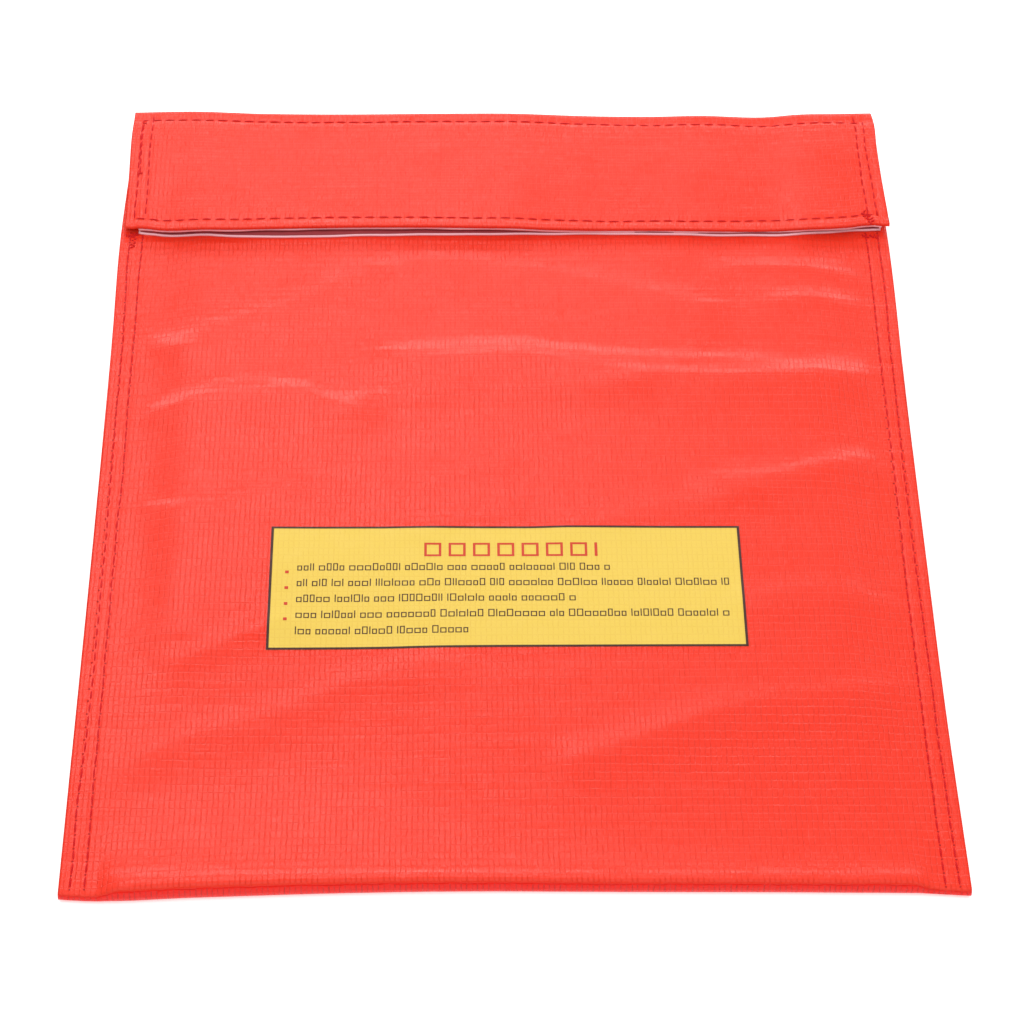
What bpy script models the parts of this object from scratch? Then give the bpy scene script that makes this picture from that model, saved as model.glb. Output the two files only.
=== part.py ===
"""Flat fire-resistant charging bag for lithium packs, 230 x 300 mm.

The bag lies on its back with its front panel up.  +X is across the bag, +Y runs from the
bottom fold to the crease of the flap, and +Z points up through the front panel.  The origin
is the middle of the bag on the surface that it lies on.

One sheet of coated cloth makes the back, the bottom fold and the front.  The same sheet goes
on over the top as a narrow fold strip and a flap, and both of those turn: the strip about a
crease at the back panel and the flap about a crease at the strip.
"""
from math import cos, pi, sin

import bmesh
import bpy
from mathutils import Matrix, Vector

# ---- Driving dimensions, in metres -------------------------------------------------------
WIDTH = 0.230             # across the bag, over the side edges
LENGTH = 0.300            # from the bottom fold to the top crease
FLAP_DEPTH = 0.055        # from the top crease to the flap's lower edge
CLOTH = 0.0006            # thickness of the red coated cloth
LINING = 0.0004           # thickness of the white glass-fibre lining
LAYER_GAP = 0.0002        # air between two layers that touch
CAVITY = 0.0044           # height of the pocket between its linings
TAPE_BACKING = 0.0005     # woven ground of the hook tape and of the loop tape
TAPE_PILE = 0.0004        # hooks or loops above the ground
THREAD = 0.0004           # diameter of a laid seam thread
THREAD_GAP = 0.0001       # air under a thread that lies in a recess

HALF_WIDTH = WIDTH / 2
HALF_LENGTH = LENGTH / 2

# Side margins, where front and back are sewn flat, and how the front rises out of them.
MARGIN_INNER = 0.106      # distance from the middle line at which the flat margin ends
PLATEAU_HALF = 0.076      # half the width of the level middle of the front
BACK_MARGIN_INNER = 0.098
BACK_MARGIN_LIFT = 0.0006     # the back is drawn up here, so its seam threads clear the floor
RISE_START = -0.146       # the front starts to rise just above the bottom fold
RISE_END = -0.088         # and is level from here to the mouth

# The mouth and the two creases behind it.
MOUTH_Y = 0.146
CREASE_CLEARANCE = 0.00045    # from a crease's axis to the end of each sheet that meets there
CREASE_Y = HALF_LENGTH - CLOTH / 2
FADE_START = 0.145        # the back's raised margins run out between here and the crease
FADE_MIDDLE = 0.147
BACK_MIDDLE = 0.0         # one more row of points on the long level back,
FRONT_MIDDLE = 0.030      # and one on the long level front
LINING_INSET = 0.001      # the lining ends this far inside the cloth
FLAP_LEVEL_START = 0.110  # the flap's sides droop in full up to here,
FLAP_LEVEL_END = 0.144    # and the flap is level from here to its crease

# Rows of stitches, measured in from the side edges and the flap's edges.
SEAM_START = -0.1475      # just above the bottom fold
SEAM_STOP = 0.0015        # the front's rows stop this far short of the flap's lower edge
SEAM_OUTER = 0.0026
SEAM_INNER = 0.0068
FLAP_SEAM_SIDE = 0.0030
FLAP_SEAM_TOP = 0.0060
FLAP_SEAM_LOW = 0.0030
FLAP_SEAM_HEM = 0.0065

# Hook and loop tapes under the flap.
TAPE_HALF = 0.1105
TAPE_WIDTH = 0.050
SELVEDGE = 0.0035         # bare edge of each tape, where it is sewn
LOOP_TAPE_LOW = 0.0945    # lower edge of the loop tape, just below the flap's own edge
HOOK_TAPE_LOW = 0.0953

# Printed label on the front panel.
LABEL_X = -0.0013
LABEL_Y = -0.0484
LABEL_WIDTH = 0.1296
LABEL_HEIGHT = 0.044
INK = 0.00015             # thickness of a layer of print
LABEL_RULE = 0.0008       # width of the dark rule round the label
HEADING_WIDTH = 0.049
HEADING_HEIGHT = 0.0046
HEADING_RIGHT = 0.0020    # the heading bar's middle is this far right of the label's
HEADING_DOWN = 0.0087     # from the label's top edge to the middle of its heading bar
LINE_LENGTHS = (0.087, 0.118, 0.076, 0.118, 0.049)
LINE_HEIGHT = 0.0018
LINE_INDENT = 0.0076      # from the label's left edge to the start of each line
FIRST_LINE_DOWN = 0.0153  # from the label's top edge to the middle of the first line
LINE_PITCH = 0.0056
BULLETS = 4               # the last line carries on the fourth item, without a bullet
BULLET = 0.0012           # side of a square bullet
BULLET_BACK = 0.0028      # from the start of a line back to the middle of its bullet
BULLET_DOWN = 0.0016      # from the middle of a line down to the middle of its bullet

# ---- Heights worked out from the stack of layers -----------------------------------------
BACK_Z = CLOTH / 2                                     # middle of the back cloth
BACK_LINING_Z = CLOTH + LAYER_GAP + LINING / 2
FRONT_LINING_LOW_Z = BACK_MARGIN_LIFT + CLOTH + 2 * LAYER_GAP + 1.5 * LINING
FRONT_LOW_Z = FRONT_LINING_LOW_Z + LINING / 2 + LAYER_GAP + CLOTH / 2
FRONT_RISE = BACK_LINING_Z + LINING + CAVITY - FRONT_LINING_LOW_Z
TAPE = TAPE_BACKING + TAPE_PILE
LOOP_OFFSET = CLOTH / 2 + LAYER_GAP                    # front cloth's middle to loop tape
HOOK_OFFSET = LOOP_OFFSET + TAPE + LAYER_GAP
FLAP_OFFSET = HOOK_OFFSET + TAPE + LAYER_GAP + CLOTH / 2
FLAP_LOW_Z = FRONT_LOW_Z + FLAP_OFFSET
FLAP_CREASE_Z = FLAP_LOW_Z + FRONT_RISE
FLAP_EDGE_Y = HALF_LENGTH - FLAP_DEPTH
FRONT_TOP_Z = FRONT_LOW_Z + FRONT_RISE + CLOTH / 2     # outer face of the level front
SHEET_END_Y = CREASE_Y - CREASE_CLEARANCE


def smooth(t):
    """Smooth step from 0 to 1."""
    t = min(max(t, 0.0), 1.0)
    return t * t * (3 - 2 * t)


def steps(start, end, count):
    """The numbers after start that reach end in equal steps."""
    return [start + (end - start) * i / count for i in range(1, count + 1)]


def across_rise(x):
    """1 over the level middle of the front, 0 on the flat side margins."""
    return 1 - smooth((abs(x) - PLATEAU_HALF) / (MARGIN_INNER - PLATEAU_HALF))


def front_lift(x, y):
    """How far the front stands above its seam."""
    return FRONT_RISE * across_rise(x) * smooth((y - RISE_START) / (RISE_END - RISE_START))


def back_lift(x, y):
    """How far the back's margins are drawn up."""
    margin = smooth((abs(x) - BACK_MARGIN_INNER) / (MARGIN_INNER - BACK_MARGIN_INNER))
    fade = 1 - smooth((y - FADE_START) / (SHEET_END_Y - FADE_START))
    return BACK_MARGIN_LIFT * margin * fade


def flap_z(x, y):
    """Middle of the flap's cloth: level at the crease, drooping towards its lower corners."""
    level = smooth((y - FLAP_LEVEL_START) / (FLAP_LEVEL_END - FLAP_LEVEL_START))
    rise = across_rise(x)
    return FLAP_LOW_Z + FRONT_RISE * (rise + (1 - rise) * level)


# ---- Materials ---------------------------------------------------------------------------
def linear(red, green, blue):
    """An sRGB colour, 0 to 255, as the linear colour that a shader takes."""
    def channel(value):
        value /= 255
        return value / 12.92 if value <= 0.04045 else ((value + 0.055) / 1.055) ** 2.4
    return (channel(red), channel(green), channel(blue), 1.0)


def material(name, colour, roughness, metallic=0.0):
    """A plain Principled material."""
    made = bpy.data.materials.new(name)
    made.use_nodes = True
    shader = made.node_tree.nodes["Principled BSDF"]
    shader.inputs["Base Color"].default_value = linear(*colour)
    shader.inputs["Roughness"].default_value = roughness
    shader.inputs["Metallic"].default_value = metallic
    return made


# ---- Shapes ------------------------------------------------------------------------------
def add_object(name, data, collection, finish, body=None):
    """Link an object, give it its material and hang it on its body's axis, if it has one."""
    made = bpy.data.objects.new(name, data)
    collection.objects.link(made)
    data.materials.append(finish)
    if body:
        made.parent = body
        made.matrix_parent_inverse = Matrix.Translation(AXES[body.name]).inverted()
    return made


def sheet(name, columns, rows, place, thickness, collection, finish, body=None, offset=0.0):
    """A sheet: a grid whose vertices go to place(column, row), thickened by Solidify."""
    cells = bmesh.new()
    bmesh.ops.create_grid(cells, x_segments=len(columns) - 1, y_segments=len(rows) - 1, size=1)
    for vertex in cells.verts:
        column = columns[round((vertex.co.x + 1) / 2 * (len(columns) - 1))]
        row = rows[round((vertex.co.y + 1) / 2 * (len(rows) - 1))]
        vertex.co = place(column, row)
    mesh = bpy.data.meshes.new(name)
    cells.to_mesh(mesh)
    cells.free()
    mesh.shade_smooth()
    made = add_object(name, mesh, collection, finish, body)
    solid = made.modifiers.new("Thickness", "SOLIDIFY")
    solid.thickness = thickness
    solid.offset = offset
    solid.use_even_offset = True
    return made


def block(name, centre, size, finish):
    """A rectangular block."""
    cells = bmesh.new()
    bmesh.ops.create_cube(cells, size=1, matrix=Matrix.Diagonal((*size, 1)))
    mesh = bpy.data.meshes.new(name)
    cells.to_mesh(mesh)
    cells.free()
    made = add_object(name, mesh, PARTS, finish)
    made.location = centre
    return made


def thread(name, points, finish, body=None, closed=False):
    """A laid seam thread: a round bead along its points."""
    curve = bpy.data.curves.new(name, "CURVE")
    curve.dimensions = "3D"
    curve.bevel_depth = THREAD / 2
    curve.bevel_resolution = 1
    curve.use_fill_caps = not closed
    spline = curve.splines.new("POLY")
    spline.points.add(len(points) - 1)
    for target, point in zip(spline.points, points):
        target.co = (*point, 1)
    spline.use_cyclic_u = closed
    return add_object(name, curve, PARTS, finish, body)


def rectangle_run(half_x, low_y, high_y, height):
    """Points round a rectangle, each at height(x, y)."""
    inside = [x for x in COLUMNS if abs(x) < half_x]
    ups = steps(low_y, high_y, 6)
    run = [(x, low_y) for x in [-half_x] + inside + [half_x]]
    run += [(half_x, y) for y in ups]
    run += [(x, high_y) for x in reversed([-half_x] + inside)]
    run += [(-half_x, y) for y in reversed(ups[:-1])]
    return [(x, y, height(x, y)) for x, y in run]


# ---- The pouch: cloth and lining, each folded at the bottom -------------------------------
# Columns are places across the bag, and they are the same in every layer, so that stacked
# layers stay parallel.  The two outermost ones follow the edge of the sheet.
RISE_COLUMNS = steps(PLATEAU_HALF, MARGIN_INNER, 8)
HALF_COLUMNS = [PLATEAU_HALF / 3, PLATEAU_HALF] + RISE_COLUMNS
COLUMNS = [-x for x in reversed(HALF_COLUMNS)] + HALF_COLUMNS
FOLD_STEPS = 6


def folded_rows(back_end, front_end):
    """Rows of a sheet that runs down the back, round the bottom fold and up the front."""
    back = [("back", y) for y in (back_end, FADE_MIDDLE, FADE_START, BACK_MIDDLE)]
    fold = [("fold", i / FOLD_STEPS) for i in range(FOLD_STEPS + 1)]
    rise = [("front", y) for y in [RISE_START] + steps(RISE_START, RISE_END, 8)]
    return back + fold + rise + [("front", FRONT_MIDDLE), ("front", front_end)]


def folded_place(back_z, front_z, inset):
    """Where a point of such a sheet lies; inset is its gap to the outer face of the fold."""
    def place(x, row):
        kind, value = row
        low = back_z + back_lift(x, 0.0)
        radius = (front_z - low) / 2
        turn_y = -HALF_LENGTH + inset + radius
        if kind == "back":
            return Vector((x, value, back_z + back_lift(x, value)))
        if kind == "front":
            return Vector((x, value, front_z + front_lift(x, value)))
        angle = pi * value
        return Vector((x, turn_y - radius * sin(angle), low + radius * (1 - cos(angle))))
    return place


def make_pouch():
    """The cloth shell and its lining."""
    columns = [-HALF_WIDTH] + COLUMNS + [HALF_WIDTH]
    sheet("pouch_shell", columns, folded_rows(SHEET_END_Y, MOUTH_Y),
          folded_place(BACK_Z, FRONT_LOW_Z, CLOTH / 2), CLOTH, PARTS, RED_CLOTH)
    edge = HALF_WIDTH - LINING_INSET
    columns = [-edge] + COLUMNS + [edge]
    lining_depth = CLOTH + LAYER_GAP + LINING / 2
    sheet("pouch_lining", columns, folded_rows(SHEET_END_Y - LINING_INSET, MOUTH_Y - LINING_INSET),
          folded_place(BACK_LINING_Z, FRONT_LINING_LOW_Z, lining_depth), LINING, PARTS,
          WHITE_CLOTH)


# ---- Fold strip and flap -----------------------------------------------------------------
def make_fold_strip():
    """The upright strip between the two creases."""
    ends = [BACK_Z + CREASE_CLEARANCE, FLAP_CREASE_Z - CREASE_CLEARANCE]
    sheet("fold_strip", [-HALF_WIDTH, 0.0, HALF_WIDTH], ends,
          lambda x, z: Vector((x, CREASE_Y, z)), CLOTH, PARTS, RED_CLOTH_FOLD, FOLD_BODY)


def make_flap():
    """The flap's cloth."""
    columns = [-HALF_WIDTH] + COLUMNS + [HALF_WIDTH]
    seam_low = FLAP_EDGE_Y + FLAP_SEAM_LOW
    seam_top = HALF_LENGTH - FLAP_SEAM_TOP
    rows = [FLAP_EDGE_Y, seam_low] + steps(seam_low, seam_top, 6) + [SHEET_END_Y]
    sheet("flap_panel", columns, rows, lambda x, y: Vector((x, y, flap_z(x, y))), CLOTH,
          PARTS, RED_CLOTH_FLAP, FLAP_BODY)


def tape(name, backing_z, pile_z, low_y, finish, body=None):
    """A sewn tape: a woven ground with bare selvedges, and its pile as a raised field."""
    high_y = low_y + TAPE_WIDTH
    columns = [-TAPE_HALF] + COLUMNS + [TAPE_HALF]
    rows = [low_y] + steps(low_y, high_y, 7)
    ground = sheet(name, columns, rows, lambda x, y: Vector((x, y, backing_z(x, y))),
                   TAPE_BACKING, PARTS, finish, body)
    edge = TAPE_HALF - SELVEDGE
    columns = [-edge] + [x for x in COLUMNS if abs(x) < edge] + [edge]
    rows = [low_y + SELVEDGE] + steps(low_y + SELVEDGE, high_y - SELVEDGE, 6)
    pile = sheet(name + "_pile", columns, rows, lambda x, y: Vector((x, y, pile_z(x, y))),
                 TAPE_PILE + TAPE_BACKING / 2, GUIDES, finish, body)
    pile.hide_render = True
    pile.display_type = "WIRE"
    joint = ground.modifiers.new("Pile", "BOOLEAN")
    joint.operation = "UNION"
    joint.object = pile


def make_tapes():
    """Loop tape on the front panel, hook tape under the flap."""
    # The pile starts at the middle of its ground, so the two overlap by half the ground.
    pile_shift = (TAPE_PILE + TAPE_BACKING / 2) / 2

    def loop_ground(x, y):
        return FRONT_LOW_Z + front_lift(x, y) + LOOP_OFFSET + TAPE_BACKING / 2

    def hook_ground(x, y):
        return flap_z(x, y) - CLOTH / 2 - LAYER_GAP - TAPE_BACKING / 2

    tape("loop_tape", loop_ground, lambda x, y: loop_ground(x, y) + pile_shift,
         LOOP_TAPE_LOW, LOOP_PILE)
    tape("hook_tape", hook_ground, lambda x, y: hook_ground(x, y) - pile_shift,
         HOOK_TAPE_LOW, HOOK_PILE, FLAP_BODY)


# ---- Seams -------------------------------------------------------------------------------
def make_side_seams():
    """Two rows of lockstitch down each side: needle thread above, bobbin thread below."""
    half = THREAD / 2
    above = FRONT_LOW_Z + CLOTH / 2 + LAYER_GAP + half
    below = BACK_MARGIN_LIFT - THREAD_GAP - half
    needle_end = FLAP_EDGE_Y - SEAM_STOP
    for side, sign in (("left", -1), ("right", 1)):
        for row, inset in (("outer", SEAM_OUTER), ("inner", SEAM_INNER)):
            x = sign * (HALF_WIDTH - inset)
            thread(f"{side}_{row}_seam_needle_thread",
                   [(x, SEAM_START, above), (x, needle_end, above)], RED_THREAD)
            thread(f"{side}_{row}_seam_bobbin_thread",
                   [(x, SEAM_START, below), (x, FADE_START, below)], RED_THREAD)


def make_flap_seams():
    """The rectangle that holds the hook tape, the side hems, and the loop tape's own row."""
    lift = CLOTH / 2 + LAYER_GAP + THREAD / 2

    def over_flap(x, y):
        return flap_z(x, y) + lift

    low = FLAP_EDGE_Y + FLAP_SEAM_LOW
    high = HALF_LENGTH - FLAP_SEAM_TOP
    thread("flap_seam_thread", rectangle_run(HALF_WIDTH - FLAP_SEAM_SIDE, low, high, over_flap),
           RED_THREAD, FLAP_BODY, closed=True)
    inner_low = low + 2 * THREAD
    inner_high = high - 2 * THREAD
    for side, sign in (("left", -1), ("right", 1)):
        x = sign * (HALF_WIDTH - FLAP_SEAM_HEM)
        run = [(x, y, over_flap(x, y)) for y in [inner_low] + steps(inner_low, inner_high, 7)]
        thread(f"{side}_flap_hem_thread", run, RED_THREAD, FLAP_BODY)

    def over_loop_ground(x, y):
        ground = FRONT_LOW_Z + front_lift(x, y) + LOOP_OFFSET + TAPE_BACKING
        return ground + THREAD_GAP + THREAD / 2

    inset = SELVEDGE / 2
    low = LOOP_TAPE_LOW + inset
    high = LOOP_TAPE_LOW + TAPE_WIDTH - inset
    thread("loop_tape_thread", rectangle_run(TAPE_HALF - inset, low, high, over_loop_ground),
           WHITE_THREAD, closed=True)


# ---- Printed label -----------------------------------------------------------------------
def make_label():
    """A framed field with a heading bar, five rule-like lines and four square bullets."""
    field_z = FRONT_TOP_Z + LAYER_GAP + INK / 2
    inner_width = LABEL_WIDTH - 2 * LABEL_RULE
    inner_height = LABEL_HEIGHT - 2 * LABEL_RULE
    block("label_field", (LABEL_X, LABEL_Y, field_z),
          (inner_width - 2 * LAYER_GAP, inner_height - 2 * LAYER_GAP, INK), YELLOW_INK)
    rule = bpy.data.curves.new("label_rule", "CURVE")
    rule.dimensions = "2D"
    rule.fill_mode = "BOTH"
    rule.extrude = INK / 2
    for width, height in ((LABEL_WIDTH, LABEL_HEIGHT), (inner_width, inner_height)):
        spline = rule.splines.new("POLY")
        spline.points.add(3)
        corners = ((-1, -1), (1, -1), (1, 1), (-1, 1))
        for point, (across, along) in zip(spline.points, corners):
            point.co = (across * width / 2, along * height / 2, 0, 1)
        spline.use_cyclic_u = True
    frame = add_object("label_rule", rule, PARTS, BROWN_INK)
    frame.location = (LABEL_X, LABEL_Y, field_z)

    print_z = field_z + INK + LAYER_GAP
    top = LABEL_Y + LABEL_HEIGHT / 2
    block("label_heading_bar", (LABEL_X + HEADING_RIGHT, top - HEADING_DOWN, print_z),
          (HEADING_WIDTH, HEADING_HEIGHT, INK), RED_INK)
    left = LABEL_X - LABEL_WIDTH / 2 + LINE_INDENT
    for number, length in enumerate(LINE_LENGTHS):
        y = top - FIRST_LINE_DOWN - LINE_PITCH * number
        block(f"label_line_{number + 1}", (left + length / 2, y, print_z),
              (length, LINE_HEIGHT, INK), BROWN_INK)
        if number < BULLETS:
            block(f"label_bullet_{number + 1}", (left - BULLET_BACK, y - BULLET_DOWN, print_z),
                  (BULLET, BULLET, INK), RED_INK)


def empty(name, parent=None):
    """An empty on a crease's axis."""
    made = bpy.data.objects.new(name, None)
    PARTS.objects.link(made)
    made.empty_display_size = 0.02
    if parent:
        made.parent = parent
        made.location = AXES[name] - AXES[parent.name]
    else:
        made.location = AXES[name]
    return made


for old in list(bpy.data.objects):
    bpy.data.objects.remove(old, do_unlink=True)

PARTS = bpy.data.collections.new("Charging_Bag")
GUIDES = bpy.data.collections.new("Guides")
bpy.context.scene.collection.children.link(PARTS)
bpy.context.scene.collection.children.link(GUIDES)

RED_CLOTH = material("red_coated_cloth", (252, 82, 68), 0.55)
RED_CLOTH_FOLD = material("red_coated_cloth_fold", (246, 74, 60), 0.55)
RED_CLOTH_FLAP = material("red_coated_cloth_flap", (254, 84, 70), 0.55)
WHITE_CLOTH = material("white_glass_cloth", (236, 232, 228), 0.8)
LOOP_PILE = material("loop_pile", (238, 214, 214), 0.95)
HOOK_PILE = material("hook_pile", (232, 196, 198), 0.7)
RED_THREAD = material("red_thread", (228, 52, 44), 0.6)
WHITE_THREAD = material("white_thread", (240, 226, 224), 0.7)
YELLOW_INK = material("yellow_ink", (253, 221, 106), 0.5)
BROWN_INK = material("brown_ink", (92, 40, 28), 0.5)
RED_INK = material("red_ink", (216, 48, 36), 0.5)

AXES = {
    "fold_axis": Vector((0, CREASE_Y, BACK_Z)),
    "flap_axis": Vector((0, CREASE_Y, FLAP_CREASE_Z)),
}
FOLD_BODY = empty("fold_axis")
FLAP_BODY = empty("flap_axis", FOLD_BODY)

make_pouch()
make_fold_strip()
make_flap()
make_tapes()
make_side_seams()
make_flap_seams()
make_label()
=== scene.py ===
"""Looks of a flat fire-resistant charging bag that lies on its back with its flap closed.

The bag's frame is the CAD part's: +X across the bag, +Y from the bottom fold to the top
crease, +Z up through the front panel.  Each cloth piece is a grid of points placed by a short
height function, so that creases, seams and stitches are real shape.
"""

from math import pi, radians

import bpy
import numpy as np
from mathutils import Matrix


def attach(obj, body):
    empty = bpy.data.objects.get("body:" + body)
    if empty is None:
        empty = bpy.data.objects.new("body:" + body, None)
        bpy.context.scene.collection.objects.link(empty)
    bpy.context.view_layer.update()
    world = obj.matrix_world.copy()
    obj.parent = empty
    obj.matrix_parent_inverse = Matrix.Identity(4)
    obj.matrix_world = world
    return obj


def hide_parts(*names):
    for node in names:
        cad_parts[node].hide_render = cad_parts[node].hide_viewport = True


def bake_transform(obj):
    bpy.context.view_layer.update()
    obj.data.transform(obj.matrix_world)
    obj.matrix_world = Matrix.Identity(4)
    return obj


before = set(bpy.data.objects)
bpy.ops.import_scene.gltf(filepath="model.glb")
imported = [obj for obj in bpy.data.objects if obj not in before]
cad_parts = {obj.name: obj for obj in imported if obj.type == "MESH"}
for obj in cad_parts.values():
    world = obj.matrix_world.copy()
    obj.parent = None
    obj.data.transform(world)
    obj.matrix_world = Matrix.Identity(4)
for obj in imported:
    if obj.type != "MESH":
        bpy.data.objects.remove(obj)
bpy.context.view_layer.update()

MM = 0.001
RANDOM = np.random.default_rng(7)

# ---- The bag's own dimensions, in metres ---------------------------------------------------
HALF_WIDTH = 0.115
CLOTH = 0.0006            # coated cloth
LINING = 0.0004           # glass-fibre lining
TAPE = 0.0006             # woven ground of the hook tape and of the loop tape
PILE = 0.0004             # hooks or loops above the ground
THREAD_RADIUS = 0.00025   # at the thickest place of each stitch

BACK_Z = 0.0003           # middle of the back cloth
BACK_MARGIN_LIFT = 0.0006     # its seam threads clear the floor
BACK_MARGIN_START = 0.098     # the lift starts here, from the middle,
BACK_LIFT_END, BACK_LIFT_FADE = 0.143, 0.004      # and fades out before the crease
BACK_LINING_Z = 0.0010
FRONT_LINING_Z = 0.0022
FRONT_LOW_Z = 0.0029      # middle of the front cloth where it is sewn down
MARGIN_INNER = 0.106      # the front starts to rise here, from the sides,
PLATEAU_HALF = 0.088      # and is level inside this
SPINE_Y = 0.1496          # the upright strip between the two creases
SPINE_MIDDLE_Z = 0.0041   # where the body's cloth ends on it and the flap's begins
CREASE_RADIUS = 0.0022
MOUTH_Y = 0.146           # the front's own edge, under the flap
FOLD_Y = -0.1503          # outer face of the bottom fold, at the sides
FLAP_Z = 0.0085           # middle of the flap's cloth, over its level part
FLAP_EDGE_Y = 0.0948
HEM_DEPTH = 0.0070        # the flap's lower edge is turned under by this much
HEM_RADIUS = 0.00030
HEM_OPENING = 0.0002      # its raw edge hangs this much lower
TAPE_ENDS = (-0.1108, 0.1132)     # the right end sticks out a little
TAPE_WIDTH = 0.0506
SELVEDGE = 0.0005         # bare edge of each tape
TAPE_BEND = 0.02          # a tape's rows follow its wavy edge, less and less, over this depth
TAPE_RIPPLE = 0.00012     # its rows also waver by this much
RIPPLE_LENGTHS = (0.0031, 0.0173)         # for each radian
SEWN_GAP = 0.00005        # under the loop tape
PILE_SINK = 0.00005       # how deep the pile starts in its ground
PILE_ROUGHNESS = 0.00010  # up and down


def smooth(t):
    """Smooth step from 0 to 1."""
    t = np.clip(t, 0.0, 1.0)
    return t * t * (3 - 2 * t)


def spline(x, points):
    """A smooth curve through points (x, y) in millimetres, level beyond its ends."""
    knots, values = MM * np.array(points, float).T
    slopes = np.gradient(values, knots)
    x = np.clip(x, knots[0], knots[-1])
    i = np.clip(np.searchsorted(knots, x) - 1, 0, len(knots) - 2)
    step = knots[i + 1] - knots[i]
    t = (x - knots[i]) / step
    return ((2 * t ** 3 - 3 * t ** 2 + 1) * values[i] + (t ** 3 - 2 * t ** 2 + t) * step * slopes[i]
            + (3 * t ** 2 - 2 * t ** 3) * values[i + 1] + (t ** 3 - t ** 2) * step * slopes[i + 1])


# ---- Outlines: half widths along the bag, and how its ends bow ------------------------------
BODY_LEFT = ((-150, 115.3), (-20, 115.5), (50, 115.9), (96, 116.5), (125, 115.8), (150, 115.0))
BODY_RIGHT = ((-150, 115.1), (-90, 114.6), (-40, 114.9), (30, 115.5), (96, 116.4),
              (125, 115.8), (150, 115.1))
FLAP_LEFT = ((94, 115.3), (120, 115.2), (137, 115.4), (150, 115.0))
FLAP_RIGHT = ((94, 117.1), (104, 116.7), (122, 116.0), (132, 115.8), (145, 115.8), (150, 115.1))
FOLD_BOW = ((-115, -0.6), (-108, -1.1), (-80, -0.2), (-45, 1.0), (-17, 1.5), (30, 1.2),
            (80, 0.8), (105, 0.3), (115, -0.4))
CREASE_WAVE = ((-115, 0.4), (-96, 0.8), (-76, -0.2), (-58, -0.5), (-15, 0.0), (0, 0.1),
               (30, -1.2), (46, -1.4), (62, -1.0), (82, -1.6), (93, -0.3), (104, 0.0), (115, 0.3))
FLAP_EDGE_WAVE = ((-115, 4.4), (-111, 3.9), (-103, 2.1), (-92, 0.6), (-70, 1.2), (-50, 1.8),
                  (-26, 1.7), (0, 1.2), (25, 1.3), (47, 1.5), (62, 1.0), (83, 1.4), (93, 1.4),
                  (102, 3.2), (110, 4.6), (115, 3.9))
LOOP_EDGE_WAVE = ((-111, 3.0), (-98, 1.1), (-84, -0.2), (-30, 0.3), (0, 0.6), (47, 0.6),
                  (71, 0.0), (85, 0.3), (96, 2.1), (104, 4.0), (113, 4.7))

# ---- Creases and waves of the front, in millimetres -----------------------------------------
# Each is the line that it follows, its height, and how far it spreads to the near side, which
# faces the bottom fold, and to the far side.
FRONT_CREASES = (
    (((-104, 47), (-82, 58), (-61, 68), (-38, 83), (-17, 86), (4, 82), (28, 77), (58, 66)),
     0.46, 16, 10),
    (((-112, 56), (-101, 52), (-96, 49)), 0.60, 6, 7),
    (((-106, 20), (-89, 27), (-72, 29), (-57, 28), (-46, 22)), 0.95, 12, 8),
    (((-80, 33), (-72, 34), (-60, 31)), 0.30, 3, 5),
    (((-46, 26), (-25, 30), (9, 31), (33, 34)), 0.50, 9, 6),
    (((-25, 42), (4, 44), (27, 39), (56, 36), (85, 37), (109, 39)), 1.15, 13, 10),
    (((-30, 47), (0, 49), (30, 45), (70, 43)), 0.46, 5, 5),
    (((-55, 37), (-46, 40), (-37, 43)), 0.32, 6, 6),
    (((80, 69), (94, 70), (109, 67)), 0.46, 6, 7),
    (((70, 84), (90, 83), (109, 80)), 0.38, 4, 5),
    (((60, -6), (77, -4), (91, 1), (109, 5)), 0.70, 10, 8),
    (((-106, -15), (-87, -16), (-66, -11)), 0.60, 10, 8),
    (((-17, -4), (-12, -2), (-6, 0)), 0.38, 5, 6),
    (((-24, -25), (-14, -20), (-4, -16)), 0.28, 6, 6),
    (((17, -24), (36, -18), (66, -11)), 0.40, 8, 7),
    (((-106, -65), (-100, -63), (-94, -61)), 0.48, 6, 7),
    (((-88, -71), (-76, -64), (-65, -58)), 0.48, 6, 7),
    (((-106, -107), (-88, -98), (-72, -92), (-54, -84), (-35, -76), (-22, -73)), 0.44, 10, 8),
    (((20, -104), (36, -97), (60, -88), (84, -84), (107, -80)), 0.72, 11, 10),
    (((69, -50), (90, -48), (107, -53)), 0.48, 8, 8),
)
CREST_SHIFT = 0.002       # a crest is this much nearer the bottom fold than its line
CREASE_END = 13           # a crease runs out over this length at each end
# Along the valley the front turns from the fold's swell to the pocket's rise.
VALLEY = ((-110, -127), (-80, -119), (-55, -117), (-35, -120), (-20, -130), (20, -138),
          (110, -138))
RISE_LENGTH = 0.085
BELLY = ((-150, 2.4), (-60, 2.4), (0, 2.4), (50, 2.2), (88, 1.7), (146, 1.7))
FOLD_SWELL = ((-110, 0.6), (-98, 1.0), (-40, 1.0), (0, 0.6), (110, 0.6))
FOLD_LIP = 0.0013         # more height at the fold itself,
LIP_START, LIP_REACH = 0.003, 0.0050      # which falls off steeply from here, over this length
INSIDE_END, INSIDE_FADE = 0.100, 0.006    # swell and creases fade out at the side margins,
MARGIN_CREASES = 0.25                     # where this share of the creases is left
CREASES_TOP, CREASES_FADE = 0.086, 0.007  # creases fade out under the flap
FOLD_SAMPLE = 0.002       # the fold's heights are those this far inside its outer face
FOLD_DEPTH = 0.8          # the fold's depth, as a share of half its height
FOLD_BLUNTNESS = 0.6      # 1 is round, and less is blunter
FOLD_END = 0.0022         # where the fold's last row is, inside its outer face
BOW_REACH = 0.03          # rows of the front follow the fold's bow over this length
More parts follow.
